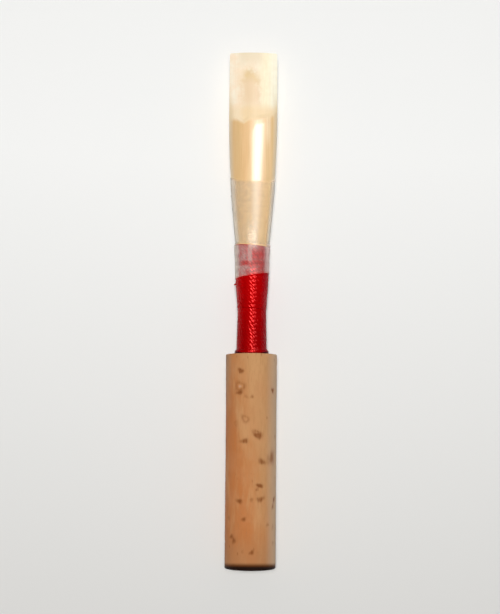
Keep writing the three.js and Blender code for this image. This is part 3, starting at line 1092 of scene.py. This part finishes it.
def addFuzz(points, faces):
    s = strandShape
    root = s["fuzzRoot"] - threadSurface(s["fuzzAt"])[0]
    line = []
    for share in stations(0, 1, s["fuzzStep"]):
        across = root - (s["fuzzReach"] + s["fuzzRoot"]) * share
        line.append(Vector((across, s["fuzzAt"] - s["fuzzDroop"] * share ** 2, 0)))
    addStrand(points, faces, line, [Vector((0, 0, 1))] * len(line), s["fuzzSize"], s["fuzzSize"], None)


def makeThread():
    t, s = threadSizes, strandShape
    points, faces = [], []
    low = threadFoot + t["pitch"] / 2
    high = threadTop - s["topTurnBelow"]
    half = t["pitch"] / 2 * s["overlap"]
    line, outward = threadLine(low, high, (high - low) / t["pitch"] + 1, phase=math.pi, level=1.0)
    addStrand(points, faces, line, outward, half, t["thickness"] / 2)
    ends = low - s["hitchHeight"], low + s["hitchHeight"]
    line, outward = threadLine(*ends, s["hitchTurns"], lift=s["hitchLift"], phase=s["hitchStart"])
    addStrand(points, faces, line, outward, half * s["hitchShare"], t["thickness"] / 2)
    addFuzz(points, faces)
    addCore(points, faces, high - t["pitch"] - t["slant"] / 2)
    piece = makeMesh("threadWinding", points, faces, sharpAngle=60)
    piece.data.materials.append(threadMaterial())
    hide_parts("thread_layer", "thread_binding")
    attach(piece, "root")


threadLook = {
    "lower": "980003",
    "upper": "b60003",
    "upperAboveFoot": 1,
    "upperBelowTop": 5,
    "deep": "7e0000",
    "deepShare": 0.3,
    "lit": "cc0604",
    "litHairs": 0.15,
    "litMiddle": -0.1,  # a lit band up the thread, just left of the middle
    "litZone": (0.1, 0.9, 0.35, 0.0),
    # painted shade: a darker, purplish tone down the right side
    "right": ("8c0420", 1.1, 2.1, 0.0, 0.5),
    "unlitMiddle": 0.4,  # where the film keeps the light off it
    "unlitAcross": (0.35, 0.8, 0.5, 0.0),
    "unlitHeight": (40.7, 41.3),
    # painted shade where the thread meets the cork: how high it goes and its near-black tone
    "footShadeReach": (1.1, 2.3, 0.22, 0.62),  # how high the dark of the foot goes, from the middle out
    "foot": ("1e0408", 0.2, 1.0, 0.92, 0.0),
    "rough": (40.5, 41.3, 0.2, 0.42),
}


def threadMaterial():
    look = threadLook
    plain = {"Metallic": 0.07, "Specular_IOR_Level": 0.08, "Specular_Tint": (1, 0.45, 0.43, 1)}
    material, tree, shader = startMaterial("nylonThread", **plain)
    point, across, height, _ = whereOnReed(tree)
    hairs = effect(tree, fleckGroup, point, spacing=0.14, stretch=0.5, size=0.5, share=0.7)
    cloud = effect(tree, patchGroup, point, size=0.7, seed=2.0, low=0.3, high=0.75)
    climb = threadFoot + look["upperAboveFoot"], threadTop - look["upperBelowTop"]
    tone = tint(tree, paint(look["lower"]), height, look["upper"], *climb)
    tone = colours(tree, times(tree, cloud, look["deepShare"]), tone, paint(look["deep"]))
    tone = colours(tree, times(tree, hairs, look["litHairs"]), tone, paint(look["lit"]))
    tone = tint(tree, tone, away(tree, across, look["litMiddle"]), look["lit"], *look["litZone"])
    tone = tint(tree, tone, across, *look["right"])
    fromUnlit = away(tree, across, look["unlitMiddle"])
    unlit = both(tree, fromUnlit, look["unlitAcross"], height, look["unlitHeight"])
    tone = colours(tree, unlit, tone, paint(look["deep"]))

    # Painted shade where it meets the cork, most at the two sides
    shaded = rise(tree, sums(tree, "ABSOLUTE", across), *look["footShadeReach"])
    tone = tint(tree, tone, over(tree, minus(tree, height, threadFoot), shaded), *look["foot"])
    feed(tree, shader, Base_Color=tone, Roughness=rise(tree, height, *look["rough"]))
    return material


makeThread()
print("thread wound")


# Sealing film
filmSizes = {
    "overThread": 4.9,
    "overCane": 8.7,
    "wall": 0.03,
    "gap": 0.025,
    "crest": 0.55,  # below the winding's nominal top, where the film starts down to the cane
    "drop": 0.45,
    "crestBlur": 0.3,
    "footSlant": 0.37,
    "footWave": 0.06,
    "topDip": 0.26,  # the upper edge is lowest at the front and rises round the sides
    "topRise": 0.68,
    "topSlant": 0.2,
    "topCurve": 0.7,
    "topWave": 0.05,
    "waveRate": 2,
    "waveSeeds": (1.0, 5.0),  # of the lower and the upper edge
    "creases": ((0.016, 0.9, 2.6), (0.008, 2, 7)),  # depth, how often round the reed, and a mm along it
    "looseLeft": (0.66, 0.98),  # from and to, as shares of the half width
    "looseRight": (0.74, 0.6),  # from, over the cane and over the thread
    "looseRightMore": 1.15,
    "hem": (0.08, 0.3),
    "thinTop": 0.5,
    "threadEdge": 0.5,  # below the winding's nominal top, where its last turn shows through
    "threadEdgeWidth": 0.2,
    "tag": 0.11,  # a speck that stands out at the left side
    "tagAt": 51.3,
    "tagWidth": 0.02,
    "columns": 180,
    "spacing": 0.1,
}


def filmSurface(height):
    onThread = threadSurface(min(height, threadTop))
    onCane = caneHalfWidth(height), seatGap / 2 + windway(height)[1] + caneSizes["bark"]
    crest = threadTop - filmSizes["crest"]
    share = soft(height, crest, crest + filmSizes["drop"])
    return mix(onThread[0], onCane[0], share), mix(onThread[1], onCane[1], share)


# How loose the film is at the two sides, where it spans from blade to blade
def filmLoose(across, onThread):
    f = filmSizes
    left = soft(-across, *f["looseLeft"])
    right = soft(across, mix(*f["looseRight"], onThread), 1.0)
    return max(left, right * f["looseRightMore"])


def makeFilm():
    f = filmSizes
    foot, top = threadTop - f["overThread"], threadTop + f["overCane"]
    rows = len(stations(foot, top, f["spacing"]))
    columns = f["columns"]
    outer, inner, masks = [], [], {"overThread": [], "loose": [], "thin": [], "hem": [], "rim": []}
    crest = threadTop - f["crest"]
    for i in range(rows):
        for j in range(columns):
            angle = 2 * math.pi * j / columns
            across, up = math.sin(angle), math.cos(angle)
            waves = [wobble(across * f["waveRate"], up * f["waveRate"], seed) for seed in f["waveSeeds"]]
            low = foot + f["footSlant"] * across + f["footWave"] * waves[0]
            raised = (1 - max(0.0, up)) ** f["topCurve"]
            climb = (f["topRise"] - f["topSlant"] * across) * raised
            high = top - f["topDip"] + climb + f["topWave"] * waves[1]
            height = mix(low, high, i / (rows - 1))
            wide, deep = filmSurface(height)
            out = f["gap"]
            for depth, aside, along in f["creases"]:
                out += depth * wobble(across * aside, height * along, up * aside)
            fromTag = ((height - f["tagAt"]) / f["tag"]) ** 2 + ((across + 1) / f["tagWidth"]) ** 2
            out += f["tag"] * math.exp(-fromTag)
            lift = math.copysign(abs(up) ** sectionCurl(height), up)
            inner.append(toFrame((wide + out) * across, height, (deep + out) * lift))
            out += f["wall"]
            outer.append(toFrame((wide + out) * across, height, (deep + out) * lift))
            onThread = 1 - soft(height, crest - f["crestBlur"], crest + f["crestBlur"])
            threadEdge = threadTop - f["threadEdge"] + leanAt(angle, threadTop)
            masks["overThread"].append(onThread)
            masks["loose"].append(filmLoose(across, onThread))
            masks["thin"].append(ramp(height, high - f["thinTop"], high))
            masks["hem"].append(1 - soft(height - low, *f["hem"]))
            masks["rim"].append(max(0.0, 1 - abs(height - threadEdge) / f["threadEdgeWidth"]))
    masks = {label: values * 2 for label, values in masks.items()}
    faces = wallFaces(rows, columns, True)
    piece = makeMesh("sealingFilm", outer + inner, faces, sharpAngle=50, masks=masks)
    piece.data.materials.append(filmMaterial())
    piece.visible_shadow = False
    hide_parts("sealing_film")
    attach(piece, "root")


# Its colours, and how much it covers what lies under it; heights and places across in mm
filmLook = {
    "overCane": "aca798",
    "overCaneRight": ("c8bb9c", 0.3, 2.2),
    "overThread": "c0b0a9",
    "looseOverCane": "dcd4c8",
    "looseNearThread": ("e9e2d6", 49.2, 46.8),
    "looseLeft": "dbcec3",
    "looseRight": ("e2c6c2", 0.0, 1.6),
    "coverOnCane": 0.18,
    "coverOnThread": (-0.7, 0.3, 0.12, 0.08),
    "patchesAcross": (-0.7, 0.4, 0.24, 0.07),
    "patchesOnThread": (0.0, 1.0, 0.2, 1.0),
    "creaseCover": 0.04,
    "pressedAt": 41.55,  # a band that is pressed clear
    "pressedBand": (0.15, 0.5, 0.55, 1.0),
    "clearHeight": (43.0, 44.0, 0.0, 0.35),  # it clears at the upper left
    "clearAcross": (-0.9, -0.5, 1.0, 0.0),
    "foldAt": -0.3,  # a fold runs up the thread, left of the middle
    "foldAcross": (0.1, 0.45, 0.2, 0.0),
    "foldHeight": (41.2, 42.2),
    "bunchHeight": (43.0, 44.2, 0.0, 0.14),  # and it bunches at the upper right
    "bunchAcross": (-0.3, 0.3),
    "looseCover": (0.0, 1.0, 0.45, 0.62),
    "paintedSheen": "fff3dd",
    "sheenMiddle": -0.05,
    "sheenAcross": (0.2, 0.95, 1.0, 0.0),
    "sheenFades": (45.2, 48.4, 1.0, 0.0),
    "sheenStarts": (42.9, 44.7),
    "sheenCrinkles": (0.1, 0.9, 0.35, 0.75),
    "sheenCover": 0.5,
    "hem": "ec9c90",
    "hemShare": 0.6,
    "rimCover": (0.0, 0.8, 1.0, 0.3),
    "hemCover": (0.0, 1.0, 1.0, 0.8),
    "thinCover": (0.0, 1.0, 1.0, 0.03),
    "relief": 0.012,
}


def filmMaterial():
    look = filmLook
    material, tree, shader = startMaterial("clearFilm", Roughness=0.26, Specular_IOR_Level=0.06)
    point, across, height, _ = whereOnReed(tree)
    overThread, loose = mask(tree, "overThread"), mask(tree, "loose")
    haze = effect(tree, patchGroup, point, size=1.0, seed=1.0, low=0.38, high=0.62)
    creases = effect(tree, grainGroup, point, width=2.5, length=0.3, seed=2.0, contrast=1.6)
    crinkles = effect(tree, grainGroup, point, width=0.5, length=0.14, seed=5.0, contrast=2.2)
    overCane = tint(tree, paint(look["overCane"]), across, *look["overCaneRight"])
    tone = colours(tree, overThread, overCane, paint(look["overThread"]))
    looseOnCane = tint(tree, paint(look["looseOverCane"]), height, *look["looseNearThread"])
    looseOnThread = tint(tree, paint(look["looseLeft"]), across, *look["looseRight"])
    tone = colours(tree, loose, tone, colours(tree, overThread, looseOnCane, looseOnThread))

    # On the thread it is pressed down to the right of the middle, and lies in soft patches to the left
    clearer = rise(tree, across, *look["coverOnThread"])
    base = blend(tree, overThread, look["coverOnCane"], clearer)
    patchy = times(tree, haze, rise(tree, across, *look["patchesAcross"]))
    patchy = times(tree, patchy, rise(tree, overThread, *look["patchesOnThread"]))
    cover = plus(tree, plus(tree, base, patchy), times(tree, creases, look["creaseCover"]))
    fromBand = away(tree, height, look["pressedAt"])
    cover = times(tree, cover, rise(tree, fromBand, *look["pressedBand"]))
    upperLeft = both(tree, height, look["clearHeight"], across, look["clearAcross"])
    cover = times(tree, cover, minus(tree, 1.0, times(tree, upperLeft, overThread)))
    fromFold = away(tree, across, look["foldAt"])
    fold = both(tree, fromFold, look["foldAcross"], height, look["foldHeight"])
    fold = plus(tree, fold, both(tree, height, look["bunchHeight"], across, look["bunchAcross"]))
    cover = plus(tree, cover, times(tree, fold, overThread))
    cover = plus(tree, cover, times(tree, loose, rise(tree, overThread, *look["looseCover"])))

    # Painted highlight: where it comes down from the thread to the cane, a pale cream sheen broken by its
    # crinkles, where it also covers more
    offMiddle = away(tree, across, look["sheenMiddle"])
    paintedSheen = both(tree, offMiddle, look["sheenAcross"], height, look["sheenFades"])
    paintedSheen = times(tree, paintedSheen, rise(tree, crinkles, *look["sheenCrinkles"]))
    paintedSheen = times(tree, paintedSheen, rise(tree, height, *look["sheenStarts"]))
    tone = colours(tree, paintedSheen, tone, paint(look["paintedSheen"]))
    cover = plus(tree, cover, times(tree, paintedSheen, look["sheenCover"]), clamp=True)
    tone = colours(tree, times(tree, mask(tree, "hem"), look["hemShare"]), tone, paint(look["hem"]))
    for edge in ("rim", "hem", "thin"):
        cover = times(tree, cover, rise(tree, mask(tree, edge), *look[edge + "Cover"]))
    feed(tree, shader, Base_Color=tone, Alpha=cover, Normal=bump(tree, creases, look["relief"]))
    return material


makeFilm()
print("film wrapped")


# Floor and light; places and sizes in mm
studio = {
    # painted shade: the floor darker towards the bottom, as the light falls off from the top
    "floorTop": "f6f6f4",
    "floorBottom": "dcdbd8",
    "floorShade": (-42, 22),  # from the bottom's tone to the top's
    "floorHalf": 600,
    "worldStrength": 0.12,
    "worldInGloss": 0.12,
    "worldSeen": 0.86,
    "softbox": ((64, 64), (-4, 6, 420), 118.8),  # size, place and strength
    "strip": ((200, 230), (107, 167, 394), 34.0),
}


def makeFloor():
    half = studio["floorHalf"] * mm
    corners = [(x * half, y * half, cadLow.z) for x, y in ((-1, -1), (1, -1), (1, 1), (-1, 1))]
    floor = makeMesh("paperFloor", corners, [(0, 1, 2, 3)])
    material, tree, shader = startMaterial("palePaper", Roughness=0.9, Specular_IOR_Level=0.0)
    spot = put(tree, "TexCoord").outputs["Object"]
    y = put(tree, "SeparateXYZ", {0: spot}).outputs[1]
    # painted shade: the floor's tone darkens towards the bottom
    low, high = (value * mm for value in studio["floorShade"])
    share = put(tree, "MapRange", {"Value": y, "From Min": low, "From Max": high}).outputs["Result"]
    tone = colours(tree, share, paint(studio["floorBottom"]), paint(studio["floorTop"]))
    feed(tree, shader, Base_Color=tone)
    floor.data.materials.append(material)


def makeLamp(name, size, spot, strength, **seen):
    data = bpy.data.lights.new(name, "AREA")
    data.shape = "RECTANGLE"
    data.size, data.size_y = size[0] * mm, size[1] * mm
    data.energy = strength * math.pi * data.size * data.size_y
    lamp = bpy.data.objects.new(name, data)
    lamp.location = [value * mm for value in spot]
    lamp.rotation_euler = (-Vector(lamp.location)).to_track_quat("-Z", "Y").to_euler()
    for ray, shown in seen.items():
        setattr(lamp, ray, shown)
    bpy.context.scene.collection.objects.link(lamp)


def makeWorld():
    world = bpy.data.worlds.new("studio")
    world.use_nodes = True
    tree = world.node_tree
    rays = put(tree, "LightPath").outputs
    lit = blend(tree, rays["Is Glossy Ray"], studio["worldStrength"], studio["worldInGloss"])
    lit = blend(tree, rays["Is Camera Ray"], lit, studio["worldSeen"])
    connect(tree, tree.nodes["Background"], {"Strength": lit, "Color": (1, 1, 1, 1)})
    bpy.context.scene.world = world


makeFloor()
makeWorld()
makeLamp("softbox", *studio["softbox"], visible_glossy=False)
makeLamp("stripLight", *studio["strip"], visible_diffuse=False)
print("floor and lamps placed")
